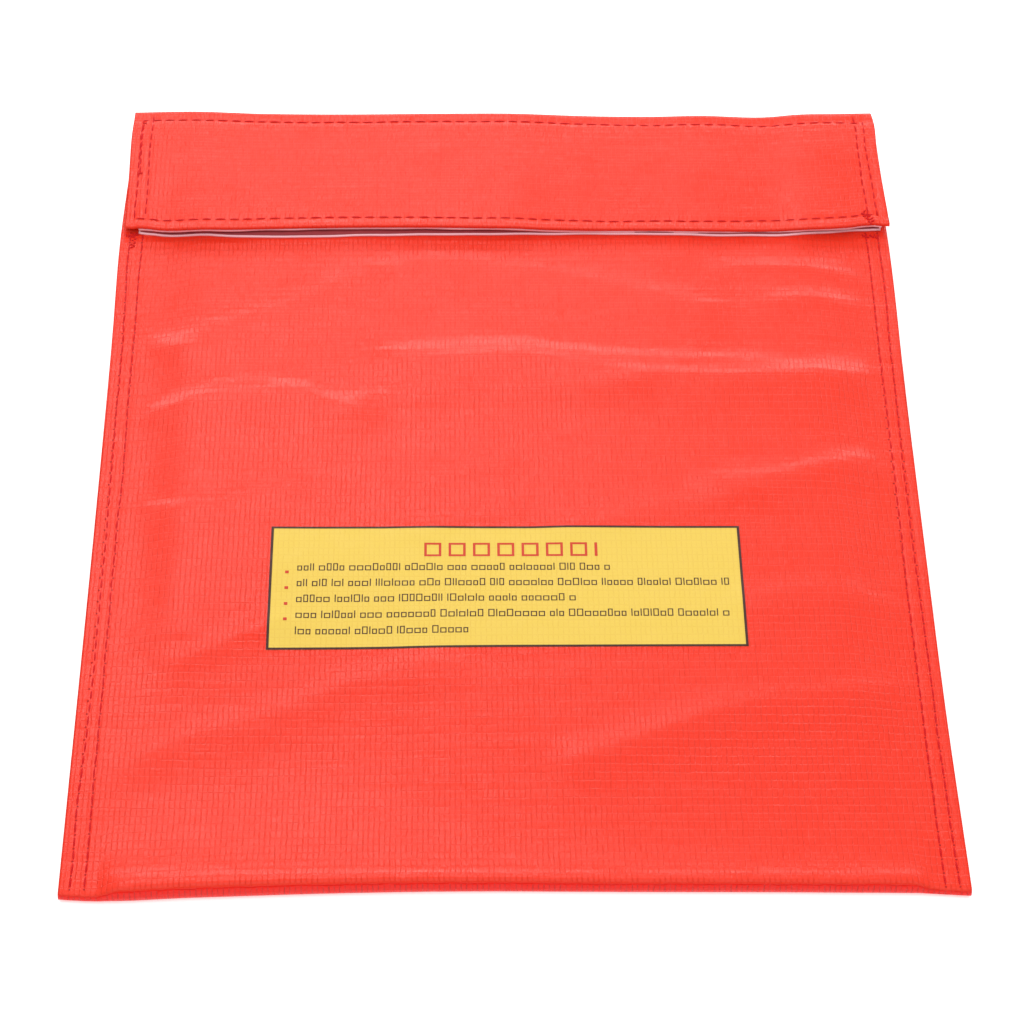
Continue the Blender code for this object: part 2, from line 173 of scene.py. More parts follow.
VALLEY_DIP = ((-106, 0.0), (-96, 0.5), (-50, 0.5), (-20, 0.1), (110, 0.0))
FOLD_PLACE = 0.3021       # middle of the bottom fold, along the flat cloth
VALLEY_TURN = 0.0030      # the turn at the valley takes this length

# ---- Shape of the flap ----------------------------------------------------------------------
CORNER_DROPS = (0.0023, 0.0017)           # of the left and the right lower corner
CORNER_START, CORNER_REACH = 0.098, 0.044
TUCK_DROP = 0.0008                        # more drop at the very end of the left corner
TUCK_START, TUCK_WIDTH, TUCK_REACH = 0.108, 0.006, 0.02   # outwards from here, and upwards
SAG_DROP = 0.0005                         # the lower edge sags on the right of the middle,
SAG_FADE, SAG_END, SAG_REACH = 0.015, 0.080, 0.035    # as far as here, and this far up
WAVE_HEIGHT = 0.12 * MM                   # slight waves all over,
WAVE_LENGTHS = (0.019, 0.014)             # across and along, for each radian
WAVE_PHASE, WAVE_START = 1.3, 0.095
FLAP_FALL, FALL_START, FALL_REACH = 0.0003, 0.147, 0.060  # from the crease downwards
CREASE_SHARE = 0.5                        # of the crease's wave, in the cloth beside it

# ---- Rows of stitches: places across the bag, before the outline widens it ------------------
OUTER_ROW = 0.1121
INNER_ROW = 0.1085
FLAP_OUTER_ROW = 0.1122
FLAP_INNER_ROW = 0.1090
FLAP_TOP_ROW = 0.1446
TOP_ROW_WAVE = 0.4        # share of the crease's wave that the top row follows
HEM_ROW = 0.0030          # from the flap's lower edge to its row of stitches
FLAP_DIP_SHARE = 0.8      # these two rows draw the cloth down less than the side rows
FLAP_DIP_END, FLAP_DIP_FADE = 0.1450, 0.002
SEAM_START = -0.1491
SEAM_PITCH = 0.0044
FLAP_PITCH = 0.0041
FINE_START = 0.1045       # the cloth's points are closer together outside this
SEAM_DIP = 0.00022        # how far a row of stitches draws the cloth down
SEAM_SPREAD = 0.0011
SEAM_TIGHTNESS = 0.2      # the dip varies by this share along each stitch
STITCH_RINGS = 6          # of points along each stitch
STITCH_SIDES = 6
STITCH_SPAN = (0.08, 0.92)                # share of its pitch that a stitch covers
ARCH_START, ARCH_SPAN = 0.07, 0.86
STITCH_SINK, STITCH_RISE = 0.00022, 0.00034   # its ends below the surface, and its arch
STITCH_THINNEST = 0.6     # share of the thread's radius at a stitch's ends
PITCH_SPREAD = 0.04       # a stitch's length varies by this share,
SWAY = 0.00009            # and its ends sideways by this much
# Dark discs that paint the shade inside the needle holes:
HOLE_SHADE_RADIUS = 0.00032
HOLE_SHADE_SIDES = 6
HOLE_SHADE_HEIGHT = 0.00004     # above the cloth


def outline(u, y, left, right):
    """Place across the bag of a point that is at u on the nominal, straight-sided outline."""
    return u * np.where(u < 0, spline(y, left), spline(y, right)) / HALF_WIDTH


def creases(x, y):
    """Height of the front's creases: a crest, a gentle near side and a steeper far side."""
    total = np.zeros(np.broadcast(x, y).shape)
    for line, height, near, far in FRONT_CREASES:
        offset = y - spline(x, line) + CREST_SHIFT
        ends = (smooth((x / MM - line[0][0]) / CREASE_END + 1)
                * smooth((line[-1][0] - x / MM) / CREASE_END + 1))
        shape = np.where(offset > 0, np.clip(1 - offset / (MM * far), 0, 1) ** 2,
                         np.exp(-(offset / (MM * near)) ** 2))
        total = total + MM * height * ends * shape
    return total * (1 - smooth((y - CREASES_TOP) / CREASES_FADE))


def across_rise(x):
    """1 over the level middle of the front, 0 on the flat side margins."""
    return 1 - smooth((np.abs(x) - PLATEAU_HALF) / (MARGIN_INNER - PLATEAU_HALF))


def seam_dip(u, y, rows, pitch, start):
    """How far rows of stitches at these distances from the middle draw the cloth down."""
    tight = 1 - SEAM_TIGHTNESS + SEAM_TIGHTNESS * np.cos(2 * pi * (y - start) / pitch)
    total = 0
    for row in rows:
        total = total + np.exp(-((np.abs(u) - row) / SEAM_SPREAD) ** 2)
    return SEAM_DIP * tight * total


def back_lift(u, y):
    """How far the back's margins are drawn up."""
    margin = smooth((np.abs(u) - BACK_MARGIN_START) / (MARGIN_INNER - BACK_MARGIN_START))
    return BACK_MARGIN_LIFT * margin * (1 - smooth((y - BACK_LIFT_END) / BACK_LIFT_FADE))


def back_z(u, y):
    """Middle of the back cloth."""
    return BACK_Z + back_lift(u, y)


def front_z(u, y):
    """Middle of the front cloth."""
    inside = 1 - smooth((np.abs(u) - INSIDE_END) / INSIDE_FADE)
    valley = spline(u, VALLEY)
    hollow = spline(u, VALLEY_DIP)
    rise = smooth((y - valley) / RISE_LENGTH) * (spline(y, BELLY) + hollow)
    slope = (np.logaddexp(0, (valley - y) / VALLEY_TURN)
             / np.logaddexp(0, (valley - FOLD_Y) / VALLEY_TURN))
    swell = (spline(u, FOLD_SWELL) + hollow) * slope * inside - hollow
    past_lip = np.maximum(y - FOLD_Y - LIP_START, 0)
    swell = swell + FOLD_LIP * inside * np.exp(-past_lip / LIP_REACH)
    waves = creases(u, y) * (MARGIN_CREASES + (1 - MARGIN_CREASES) * inside)
    dip = seam_dip(u, y, (OUTER_ROW, INNER_ROW), SEAM_PITCH, SEAM_START)
    return FRONT_LOW_Z + across_rise(u) * rise + swell + waves - dip


def flap_edge(u):
    """Where the flap's cloth turns under at its lower edge."""
    return FLAP_EDGE_Y + spline(u, FLAP_EDGE_WAVE)


def hem_row(u):
    """Where the row of stitches along the flap's lower edge is."""
    return flap_edge(u) + HEM_ROW


def top_row(u):
    """Where the row of stitches along the top crease is."""
    return FLAP_TOP_ROW + TOP_ROW_WAVE * spline(u, CREASE_WAVE)


def flap_z(u, y):
    """Middle of the flap's cloth: level at the crease, and pinched down at its lower corners."""
    corner = (1 - across_rise(u)) * (1 - smooth((y - CORNER_START) / CORNER_REACH))
    tuck = (smooth((-u - TUCK_START) / TUCK_WIDTH)
            * (1 - smooth((y - CORNER_START) / TUCK_REACH)))
    drop = np.where(u < 0, *CORNER_DROPS) * corner + TUCK_DROP * tuck
    sag = smooth(u / SAG_FADE) * (1 - smooth((u - SAG_END) / SAG_FADE))
    drop = drop + SAG_DROP * sag * (1 - smooth((y - FLAP_EDGE_Y) / SAG_REACH))
    wave = (WAVE_HEIGHT * np.sin(u / WAVE_LENGTHS[0] + WAVE_PHASE)
            * np.sin((y - WAVE_START) / WAVE_LENGTHS[1]))
    dip = seam_dip(u, y, (FLAP_OUTER_ROW, FLAP_INNER_ROW), FLAP_PITCH, FLAP_EDGE_Y)
    for row in (hem_row(u), top_row(u)):
        dip = dip + FLAP_DIP_SHARE * SEAM_DIP * np.exp(-((y - row) / SEAM_SPREAD) ** 2)
    dip = dip * (1 - smooth((y - FLAP_DIP_END) / FLAP_DIP_FADE))
    fall = FLAP_FALL * smooth((FALL_START - y) / FALL_REACH)
    return FLAP_Z + CREASE_SHARE * spline(u, CREASE_WAVE) - drop - fall + wave - dip


# ---- Building blocks ------------------------------------------------------------------------
def steps(start, end, spacing):
    """Evenly spaced places from start to end, about this far apart."""
    return np.linspace(start, end, max(2, int(round(abs(end - start) / spacing)) + 1))


def across_places(half, fine=0.0007, coarse=0.0026):
    """Places across the bag: close together over the side seams, and wider in the middle."""
    side = steps(FINE_START, half, fine)
    middle = steps(0.0, FINE_START, coarse)
    places = np.concatenate([middle, side[1:]])
    return np.concatenate([-places[:0:-1], places])


def grid_mesh(name, points, flat):
    """A mesh from rows of points, with each point's place on the flat cloth as its UV."""
    rows, columns = points.shape[:2]
    index = np.arange(rows * columns).reshape(rows, columns)
    quads = np.stack([index[:-1, :-1], index[:-1, 1:], index[1:, 1:], index[1:, :-1]], -1)
    mesh = bpy.data.meshes.new(name)
    mesh.from_pydata(points.reshape(-1, 3).tolist(), [], quads.reshape(-1, 4).tolist())
    layer = mesh.uv_layers.new(name="cloth")
    corners = np.zeros(len(mesh.loops), np.int32)
    mesh.loops.foreach_get("vertex_index", corners)
    layer.data.foreach_set("uv", flat.reshape(-1, 2)[corners].astype(np.float32).ravel())
    mesh.shade_smooth()
    return mesh


def add(name, mesh, finish, slot, body=None, stands_for=()):
    """Put a mesh in the scene with its finish, on its body, in place of its CAD nodes."""
    made = bpy.data.objects.new(name, mesh)
    bpy.context.scene.collection.objects.link(made)
    mesh.materials.append(finish)
    if body:
        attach(made, body)
    if stands_for:
        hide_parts(*stands_for)
    return made


def cloth(name, points, thickness, finish, slot, **more):
    """A sheet of cloth through rows of points, as thick as it says."""
    run = np.linalg.norm(np.diff(points, axis=0), axis=2).mean(axis=1)
    along = np.concatenate([[0], np.cumsum(run)])
    flat = np.stack(np.broadcast_arrays(points[..., 0], along[:, None]), -1)
    made = add(name, grid_mesh(name, points, flat), finish, slot, **more)
    solid = made.modifiers.new("Thickness", "SOLIDIFY")
    solid.thickness = thickness
    solid.offset = 0
    solid.use_even_offset = True
    return made


def profile_rows(u, rows, left, right):
    """Rows of points from (y, z) pairs, each a number or an array across the bag."""
    made = []
    for y, z in rows:
        y = y + 0 * u
        made.append(np.stack([outline(u, y, left, right), y, z + 0 * u], -1))
    return np.array(made)


# ---- Finishes -------------------------------------------------------------------------------
class Nodes:
    """A short way to write a material's nodes."""

    def __init__(self, name):
        self.material = bpy.data.materials.new(name)
        self.material.use_nodes = True
        self.tree = self.material.node_tree
        self.shader = self.tree.nodes["Principled BSDF"]

    def add(self, kind, inputs=(), **settings):
        """A node with its settings, and its inputs by name or number."""
        made = self.tree.nodes.new("ShaderNode" + kind)
        for key, value in settings.items():
            setattr(made, key, value)
        for key, value in dict(inputs).items():
            self.set(made.inputs[key], value)
        return made

    def set(self, socket, value):
        """Link an output to a socket, or give the socket a constant."""
        if isinstance(value, bpy.types.NodeSocket):
            self.tree.links.new(value, socket)
        else:
            socket.default_value = value

    def math(self, operation, first, second=0.0, third=0.0):
        """A Math node's result."""
        return self.add("Math", {0: first, 1: second, 2: third}, operation=operation).outputs[0]

    def between(self, value, low, high, start=0.0, end=1.0):
        """value from low..high, smoothly, as start..end."""
        return self.add("MapRange", {0: value, 1: low, 2: high, 3: start, 4: end},
                        interpolation_type="SMOOTHSTEP").outputs[0]

    def noise(self, scale, detail=2.0, roughness=0.5, where=None):
        """A noise texture's value."""
        inputs = {"Scale": scale, "Detail": detail, "Roughness": roughness}
        if where is not None:
            inputs["Vector"] = where
        return self.add("TexNoise", inputs).outputs["Fac"]

    def ramp(self, value, *stops):
        """A colour ramp through (place, colour) stops."""
        made = self.add("ValToRGB", {0: value})
        elements = made.color_ramp.elements
        for number, (place, colour) in enumerate(stops):
            element = elements[number] if number < 2 else elements.new(place)
            element.position = place
            element.color = (*colour, 1)
        return made.outputs["Color"]

    def bump(self, height, distance, strength=1.0, normal=None):
        """A bump from a height."""
        inputs = {"Height": height, "Distance": distance, "Strength": strength}
        if normal is not None:
            inputs["Normal"] = normal
        return self.add("Bump", inputs).outputs["Normal"]

    def finish(self, **inputs):
        """Set the shader's own sockets, with underscores for spaces, and give the material."""
        for key, value in inputs.items():
            self.set(self.shader.inputs[key.replace("_", " ")], value)
        return self.material


def weave(nodes, across=1.39 * MM, along=2.65 * MM):
    """The coated weave: upright grooves between long cells, and shallower ones between rows."""
    flat = nodes.add("UVMap", uv_map="cloth").outputs["UV"]
    wander = nodes.add("TexNoise", {"Vector": flat, "Scale": 260.0, "Detail": 1.0}).outputs["Color"]
    wander = nodes.add("VectorMath", {0: wander, 1: (0.5, 0.5, 0.5)},
                       operation="SUBTRACT").outputs[0]
    wander = nodes.add("VectorMath", {0: wander, "Scale": 0.0006}, operation="SCALE").outputs[0]
    place = nodes.add("VectorMath", {0: flat, 1: wander}, operation="ADD").outputs[0]
    split = nodes.add("SeparateXYZ", {0: place})
    u = nodes.math("PINGPONG", nodes.math("DIVIDE", split.outputs[0], across), 0.5)
    v = nodes.math("PINGPONG", nodes.math("DIVIDE", split.outputs[1], along), 0.5)
    half_v = nodes.math("PINGPONG", nodes.math("DIVIDE", split.outputs[1], along / 2), 0.5)
    strength = nodes.between(nodes.noise(420.0, where=flat), 0.3, 0.62, 0.35, 1.0)
    upright = nodes.math("MULTIPLY", nodes.between(u, 0.02, 0.16, 1.0, 0.0), strength)
    upright = nodes.math("MULTIPLY", upright, nodes.between(v, 0.04, 0.14))
    gap = nodes.math("MULTIPLY", nodes.between(v, 0.01, 0.09, 1.0, 0.0), 0.45)
    gap = nodes.math("MULTIPLY_ADD", nodes.between(half_v, 0.02, 0.20, 1.0, 0.0), 0.25, gap)
    groove = nodes.math("MAXIMUM", upright, gap)
    height = nodes.math("SUBTRACT", 1.0, groove)
    return groove, height, flat


def coated_cloth(name, base, groove_shade, fold_shade, fold_and_groove_shade):
    """Coral-red coated glass cloth, with painted shade: a deeper red along the bottom fold, where
    the band faces away from the light, and a slightly darker red in the weave's grooves.
    """
    nodes = Nodes(name)
    groove, height, flat = weave(nodes)
    from_fold = nodes.math("SUBTRACT", nodes.add("SeparateXYZ", {0: flat}).outputs[1], FOLD_PLACE)
    # Painted shade: this mask turns the bottom fold a deeper red, as if that band faced away from
    # the light and caught no sheen.
    fold_shade_mask = nodes.between(nodes.math("ABSOLUTE", from_fold), 0.0024, 0.0030, 0.5, 0.0)
    # Weight of the painted shade in the weave's grooves: less on the flat cloth than on the fold.
    groove_shade_weight = nodes.between(fold_shade_mask, 0.0, 0.5, 0.25, 0.5)
    shade = nodes.math("MULTIPLY_ADD", groove, groove_shade_weight, fold_shade_mask)
    # The ramp paints shade: a slightly darker red in the grooves, a deeper red on the fold, and the
    # darkest red in the grooves on the fold.
    colour = nodes.ramp(shade, (0.0, base), (0.25, groove_shade), (0.5, fold_shade), (1.0, fold_and_groove_shade))
    rough = nodes.between(nodes.noise(90.0, 4.0, 0.6, flat), 0.3, 0.7, 0.20, 0.27)
    rough = nodes.math("MULTIPLY_ADD", groove, 0.15, rough)
    normal = nodes.bump(height, 0.00010, 1.0)
    normal = nodes.bump(nodes.noise(1500.0, 3.0, 0.6, flat), 0.00002, 0.6, normal)
    stretched = nodes.add("Mapping", {"Vector": flat, "Scale": (14.0, 170.0, 1.0)}).outputs[0]
    normal = nodes.bump(nodes.noise(1.0, 5.0, 0.62, stretched), 0.0005, 0.6, normal)
    return nodes.finish(Base_Color=colour, Roughness=rough, Normal=normal,
                        Specular_IOR_Level=0.22)


def printed(name, base, ink_groove_shade):
    """Ink printed on the coated cloth, so the weave shows through, with painted shade darkening the
    ink in the weave's grooves.
    """
    nodes = Nodes(name)
    groove, height, flat = weave(nodes)
    # Painted shade: the ink is darker in the weave's grooves.
    colour = nodes.ramp(nodes.math("MULTIPLY", groove, 0.8), (0.0, base), (1.0, ink_groove_shade))
    rough = nodes.between(nodes.noise(200.0, 3.0, 0.6, flat), 0.3, 0.7, 0.42, 0.55)
    return nodes.finish(Base_Color=colour, Roughness=rough, Specular_IOR_Level=0.24,
                        Normal=nodes.bump(height, 0.00006, 0.6))


def plain_woven(name, base, dark, pitch, roughness, depth):
    """A plain weave of that pitch, for the lining and the tapes."""
    nodes = Nodes(name)
    flat = nodes.add("UVMap", uv_map="cloth").outputs["UV"]
    split = nodes.add("SeparateXYZ", {0: flat})
    u = nodes.math("SINE", nodes.math("MULTIPLY", split.outputs[0], 2 * pi / pitch))
    v = nodes.math("SINE", nodes.math("MULTIPLY", split.outputs[1], 2 * pi / pitch))
    height = nodes.math("MULTIPLY_ADD", nodes.math("MULTIPLY", u, v), 0.5, 0.5)
    fuzz = nodes.noise(1800.0, 4.0, 0.7, flat)
    both = nodes.math("MULTIPLY_ADD", fuzz, 0.6, nodes.math("MULTIPLY", height, 0.7))
    colour = nodes.ramp(both, (0.2, dark), (0.9, base))
    return nodes.finish(Base_Color=colour, Roughness=roughness, Normal=nodes.bump(both, depth))


def thread_finish(name, base, dark):
    """Twisted sewing thread."""
    nodes = Nodes(name)
    where = nodes.add("TexCoord").outputs["Object"]
    twist = nodes.add("TexWave", {"Vector": where, "Scale": 900.0, "Distortion": 1.5},
                      wave_type="BANDS", bands_direction="DIAGONAL").outputs["Fac"]
    colour = nodes.ramp(twist, (0.0, dark), (0.7, base))
    return nodes.finish(Base_Color=colour, Roughness=0.7, Specular_IOR_Level=0.1,
                        Normal=nodes.bump(twist, 0.00002))


# After the base, the colours are painted shade: in the weave's grooves, on the bottom fold, and in
# the grooves on the fold.
RED = coated_cloth("red_cloth_look", (0.80, 0.031, 0.011), (0.765, 0.028, 0.010),
                   (0.80, 0.009, 0.002), (0.58, 0.005, 0.001))
GLASS = plain_woven("glass_cloth_look", (0.78, 0.76, 0.73), (0.5, 0.48, 0.45),
                    0.0011, 0.75, 0.00008)
LOOP_GROUND, HOOK_GROUND = (
    plain_woven(name, (1.0, 0.62, 0.67), (0.92, 0.46, 0.52), 0.0007, 0.9, 0.00005)
    for name in ("loop_ground_look", "hook_ground_look"))
# Painted shade: the piles' own pink is darkened to the deep red of the shaded gap between the two
# tapes.
LOOP_PILE_WITH_PAINTED_SHADE = plain_woven("loop_pile_painted_shade_look", (0.44, 0.06, 0.07), (0.20, 0.015, 0.02),
                    0.0007, 0.95, 0.0001)
HOOK_PILE_WITH_PAINTED_SHADE = plain_woven("hook_pile_painted_shade_look", (0.40, 0.06, 0.07), (0.18, 0.015, 0.02),
                    0.0012, 0.6, 0.0001)
RED_THREAD = thread_finish("red_thread_look", (0.68, 0.014, 0.018), (0.50, 0.009, 0.012))
WHITE_THREAD = thread_finish("white_thread_look", (0.66, 0.42, 0.45), (0.4, 0.2, 0.22))
# Painted shade: the colour of the discs that stand for the shade inside the needle holes.
HOLE_SHADE = thread_finish("needle_hole_shade_look", (0.44, 0.008, 0.010), (0.34, 0.006, 0.007))
# The second colour of each ink is painted shade in the weave's grooves.
YELLOW = printed("yellow_ink_look", (0.72, 0.50, 0.072), (0.68, 0.44, 0.062))
BROWN = printed("brown_ink_look", (0.045, 0.010, 0.006), (0.03, 0.007, 0.004))
RED_INK = printed("red_ink_look", (0.56, 0.04, 0.012), (0.50, 0.03, 0.010))


# ---- The body's cloth and its lining --------------------------------------------------------
def arc(centre_y, centre_z, radius_y, radius_z, start, end, count):
    """(y, z) pairs along part of an ellipse, with angles in degrees from +Y towards +Z."""
    return [(centre_y + radius_y * np.cos(radians(a)), centre_z + radius_z * np.sin(radians(a)))
            for a in np.linspace(start, end, count)]


def fold_rows(u, back, front, inset, count=17):
    """Rows round the bottom fold, from the back's height to the front's."""
    low, high = (height(u, FOLD_Y + FOLD_SAMPLE) for height in (back, front))
    radius = (high - low) / 2
    centre = FOLD_Y + spline(u, FOLD_BOW) + inset + FOLD_DEPTH * radius
    return [(centre - FOLD_DEPTH * radius * abs(np.sin(pi * t)) ** FOLD_BLUNTNESS,
             low + radius * (1 - np.cos(pi * t)))
            for t in np.linspace(0, 1, count)]


def make_body():
    """The coated cloth of the back, the bottom fold and the front."""
    u = across_places(HALF_WIDTH)
    spine = [(SPINE_Y, z) for z in steps(SPINE_MIDDLE_Z, BACK_Z + CREASE_RADIUS, 0.0008)]
    crease = arc(SPINE_Y - CREASE_RADIUS, BACK_Z + CREASE_RADIUS, CREASE_RADIUS, CREASE_RADIUS,
                 0, -90, 8)[1:]
    back_ys = steps(SPINE_Y - CREASE_RADIUS, FOLD_Y + 0.006, 0.0035)[1:]
    back = [(y, back_z(u, y)) for y in back_ys]
    fold = fold_rows(u, back_z, front_z, CLOTH / 2)
    lip = fold[-1][0]
    front = []
    for y in steps(FOLD_Y + 0.003, MOUTH_Y, SEAM_PITCH / 4)[1:]:
        # The first rows follow the bow of the fold, and the others are straight.
        bowed = y + (lip - FOLD_Y - FOLD_END) * (1 - smooth((y - FOLD_Y) / BOW_REACH))
        front.append((bowed, front_z(u, bowed)))
    points = profile_rows(u, spine + crease + back + fold + front, BODY_LEFT, BODY_RIGHT)
    made = cloth("body_cloth", points, CLOTH, RED, "red_cloth", stands_for=["pouch_shell"])
    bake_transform(made)


def make_lining():
    """The glass-fibre lining of the pocket."""
    u = across_places(0.1125, 0.002, 0.006)

    def low(u, y):
        return BACK_LINING_Z + back_lift(u, y)

    def high(u, y):
        return front_z(u, y) - (FRONT_LOW_Z - FRONT_LINING_Z)

    back = [(y, low(u, y)) for y in steps(0.1470, -0.144, 0.006)]
    fold = fold_rows(u, low, high, 0.0012, 7)
    front = [(y, high(u, y)) for y in steps(-0.143, MOUTH_Y - 0.0008, 0.003)]
    points = profile_rows(u, back + fold + front, BODY_LEFT, BODY_RIGHT)
    made = cloth("lining_cloth", points, LINING, GLASS, "glass_cloth", body="pouch",
                 stands_for=["pouch_lining"])


# ---- The flap and its tapes -----------------------------------------------------------------
def make_flap():
    """The upper half of the spine, the top crease, the flap and its turned lower hem."""
    u = across_places(HALF_WIDTH)
    wave = CREASE_SHARE * spline(u, CREASE_WAVE)
    spine_ends = flap_z(u, SPINE_Y - CREASE_RADIUS) - CREASE_RADIUS
    rows = [(SPINE_Y + wave * t, SPINE_MIDDLE_Z + (spine_ends - SPINE_MIDDLE_Z) * t)
            for t in np.linspace(0, 1, 4)]
    rows += [(SPINE_Y + wave - CREASE_RADIUS * (1 - np.cos(a)),
              spine_ends + CREASE_RADIUS * np.sin(a)) for a in np.linspace(0, pi / 2, 9)[1:]]
    start = SPINE_Y + wave - CREASE_RADIUS
    edge = flap_edge(u)
    for t in np.linspace(0, 1, 52)[1:]:
        y = start + (edge - start) * t
        rows.append((y, flap_z(u, y)))
    last = flap_z(u, edge)
    rows += [(edge - HEM_RADIUS * np.sin(a), last - HEM_RADIUS * (1 - np.cos(a)))
             for a in np.linspace(0, pi, 7)[1:]]
    for t in np.linspace(0, 1, 5)[1:]:
        y = edge + HEM_DEPTH * t
        rows.append((y, flap_z(u, y) - 2 * HEM_RADIUS - HEM_OPENING * t))
    points = profile_rows(u, rows, FLAP_LEFT, FLAP_RIGHT)
    made = cloth("flap_cloth", points, CLOTH, RED, "red_cloth",
                 stands_for=["fold_strip", "flap_panel"])
    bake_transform(made)


def loop_edge(u):
    """Where the loop tape's lower edge is."""
    return FLAP_EDGE_Y + spline(u, LOOP_EDGE_WAVE)


def hook_edge(u):
    """Where the hook tape's lower edge is: it peeps out below the flap."""
    return flap_edge(u) - 0.0003


def loop_base(u, y):
    """The face that the loop tape is sewn on."""
    return front_z(u, y) + CLOTH / 2 + SEWN_GAP


def hook_base(u, y):
    """The face that the hook tape is sewn on, under the flap's hem."""
    return flap_z(u, y) - CLOTH / 2 - 2 * HEM_RADIUS


def tape(name, base, side, edge, finishes, slot, body, node):
    """A sewn tape with bare selvedges: its ground on base(u, y), its pile standing to side."""
    def rows_across(u, inset, height):
        rows = []
        for y in steps(FLAP_EDGE_Y + inset, FLAP_EDGE_Y + TAPE_WIDTH - inset, 0.0014):
            place = y + (edge(u) - FLAP_EDGE_Y) * (1 - smooth((y - FLAP_EDGE_Y) / TAPE_BEND))
            place = place + (TAPE_RIPPLE * np.sin(u / RIPPLE_LENGTHS[0])
                             * np.sin(u / RIPPLE_LENGTHS[1] + 7 * side))
            rows.append((place, base(u, place) + side * height))
        return profile_rows(u, rows, FLAP_LEFT, BODY_RIGHT)

    ground = rows_across(steps(*TAPE_ENDS, 0.0024), 0.0, TAPE / 2)
    made = cloth(name, ground, TAPE, finishes[0], slot, body=body, stands_for=[node])
    across = steps(TAPE_ENDS[0] + SELVEDGE, TAPE_ENDS[1] - SELVEDGE, 0.0024)
    pile = rows_across(across, SELVEDGE, TAPE + PILE / 2 - PILE_SINK)
    pile[..., 2] += side * RANDOM.uniform(-1, 1, pile.shape[:2]) * PILE_ROUGHNESS
    cloth(name + "_pile", pile, PILE, finishes[1], slot, body=body)


def make_tapes():
    """Loop tape on the front, hook tape under the flap."""
    tape("loop_tape_cloth", loop_base, 1, loop_edge, (LOOP_GROUND, LOOP_PILE_WITH_PAINTED_SHADE), "loop_pile", "pouch",
         "loop_tape")
    tape("hook_tape_cloth", hook_base, -1, hook_edge, (HOOK_GROUND, HOOK_PILE_WITH_PAINTED_SHADE), "hook_pile", "flap",
         "hook_tape")


# ---- Stitches -------------------------------------------------------------------------------
def stitch_row(name, path, pitch, surface, side, finish, slot, body, stands_for=(),
               hole_shades=False):
    """A row of stitches along path, a list of (x, y), on surface(x, y); side is +1 or -1."""
    path = np.array(path, float)
    lengths = np.concatenate([[0], np.cumsum(np.linalg.norm(np.diff(path, axis=0), axis=1))])
    count = max(1, int(round(lengths[-1] / pitch)))
    ends = np.linspace(0, lengths[-1], count + 1)
    ends[1:-1] += RANDOM.normal(0, PITCH_SPREAD * pitch, count - 1)
    sway = np.cumsum(RANDOM.normal(0, SWAY, count + 1))
    sway = sway - np.linspace(sway[0], sway[-1], count + 1)
    share = np.linspace(*STITCH_SPAN, STITCH_RINGS)
    arch = np.sin(pi * (share - ARCH_START) / ARCH_SPAN)
    angles = np.arange(STITCH_SIDES) * 2 * pi / STITCH_SIDES
    rings = []
    for number, (first, last) in enumerate(zip(ends[:-1], ends[1:])):
        along = first + (last - first) * share
        x, y = (np.interp(along, lengths, path[:, axis]) for axis in (0, 1))
        z = surface(x, y) + side * (STITCH_RISE * arch ** 0.5 - STITCH_SINK)
        centre = np.stack([x, y, z], -1)
        tangent = np.gradient(centre, axis=0)
        tangent /= np.linalg.norm(tangent, axis=1)[:, None]
        across = np.cross(tangent, [0, 0, 1.0])
        across /= np.linalg.norm(across, axis=1)[:, None]
        up = np.cross(across, tangent)
        aside = np.linspace(sway[number], sway[number + 1], STITCH_RINGS)
        centre = centre + across * aside[:, None]
        radius = THREAD_RADIUS * (STITCH_THINNEST + (1 - STITCH_THINNEST) * arch)[:, None, None]
        rings.append(centre[:, None] + radius * (across[:, None] * np.cos(angles)[None, :, None]
                                                 + up[:, None] * np.sin(angles)[None, :, None]))
    # Painted shade: dark discs where the needle went through.
    if hole_shades:
        place = np.stack([np.interp(ends, lengths, path[:, axis]) for axis in (0, 1)], -1)
        needle_hole_shades(name + "_holes", place, surface, body)
    mesh = tube_mesh(name, np.array(rings))
    add(name, mesh, finish, slot, body=body, stands_for=stands_for)


def tube_mesh(name, rings):
    """Open tubes from their rings of points: (tube, ring, point, axis)."""
    tubes, count, sides = rings.shape[:3]
    index = np.arange(tubes * count * sides).reshape(tubes, count, sides)
    turned = np.roll(index, -1, axis=2)
    quads = np.stack([index[:, :-1], turned[:, :-1], turned[:, 1:], index[:, 1:]], -1)
    mesh = bpy.data.meshes.new(name)
    mesh.from_pydata(rings.reshape(-1, 3).tolist(), [], quads.reshape(-1, 4).tolist())
    mesh.shade_smooth()
    return mesh


def needle_hole_shades(name, places, surface, body):
    """Painted shade of the needle holes: dark discs at these places, just above the cloth."""
    angles = np.arange(HOLE_SHADE_SIDES) * 2 * pi / HOLE_SHADE_SIDES
    points, faces = [], []
    for x, y in places:
        base = len(points)
        ring_x, ring_y = x + HOLE_SHADE_RADIUS * np.cos(angles), y + HOLE_SHADE_RADIUS * np.sin(angles)
        ring_z = surface(ring_x, ring_y) + HOLE_SHADE_HEIGHT
        points += np.stack([ring_x, ring_y, ring_z], -1).tolist()
        faces.append(tuple(range(base, base + HOLE_SHADE_SIDES)))
    mesh = bpy.data.meshes.new(name)
    mesh.from_pydata(points, [], faces)
    add(name, mesh, HOLE_SHADE, "red_thread", body=body)


def line(ends, places, at):
    """Points (x, y) of a row that runs along the bag at u = at."""
    ys = steps(*places, 0.004)
    return np.stack([outline(at + 0 * ys, ys, *ends), ys], -1)


def nominal(x, y, left, right):
    """The inverse of outline: where x is on the straight-sided outline."""
    return x * HALF_WIDTH / np.where(x < 0, spline(y, left), spline(y, right))


def over_front(x, y):
    """Outer face of the front."""
    return front_z(nominal(x, y, BODY_LEFT, BODY_RIGHT), y) + CLOTH / 2


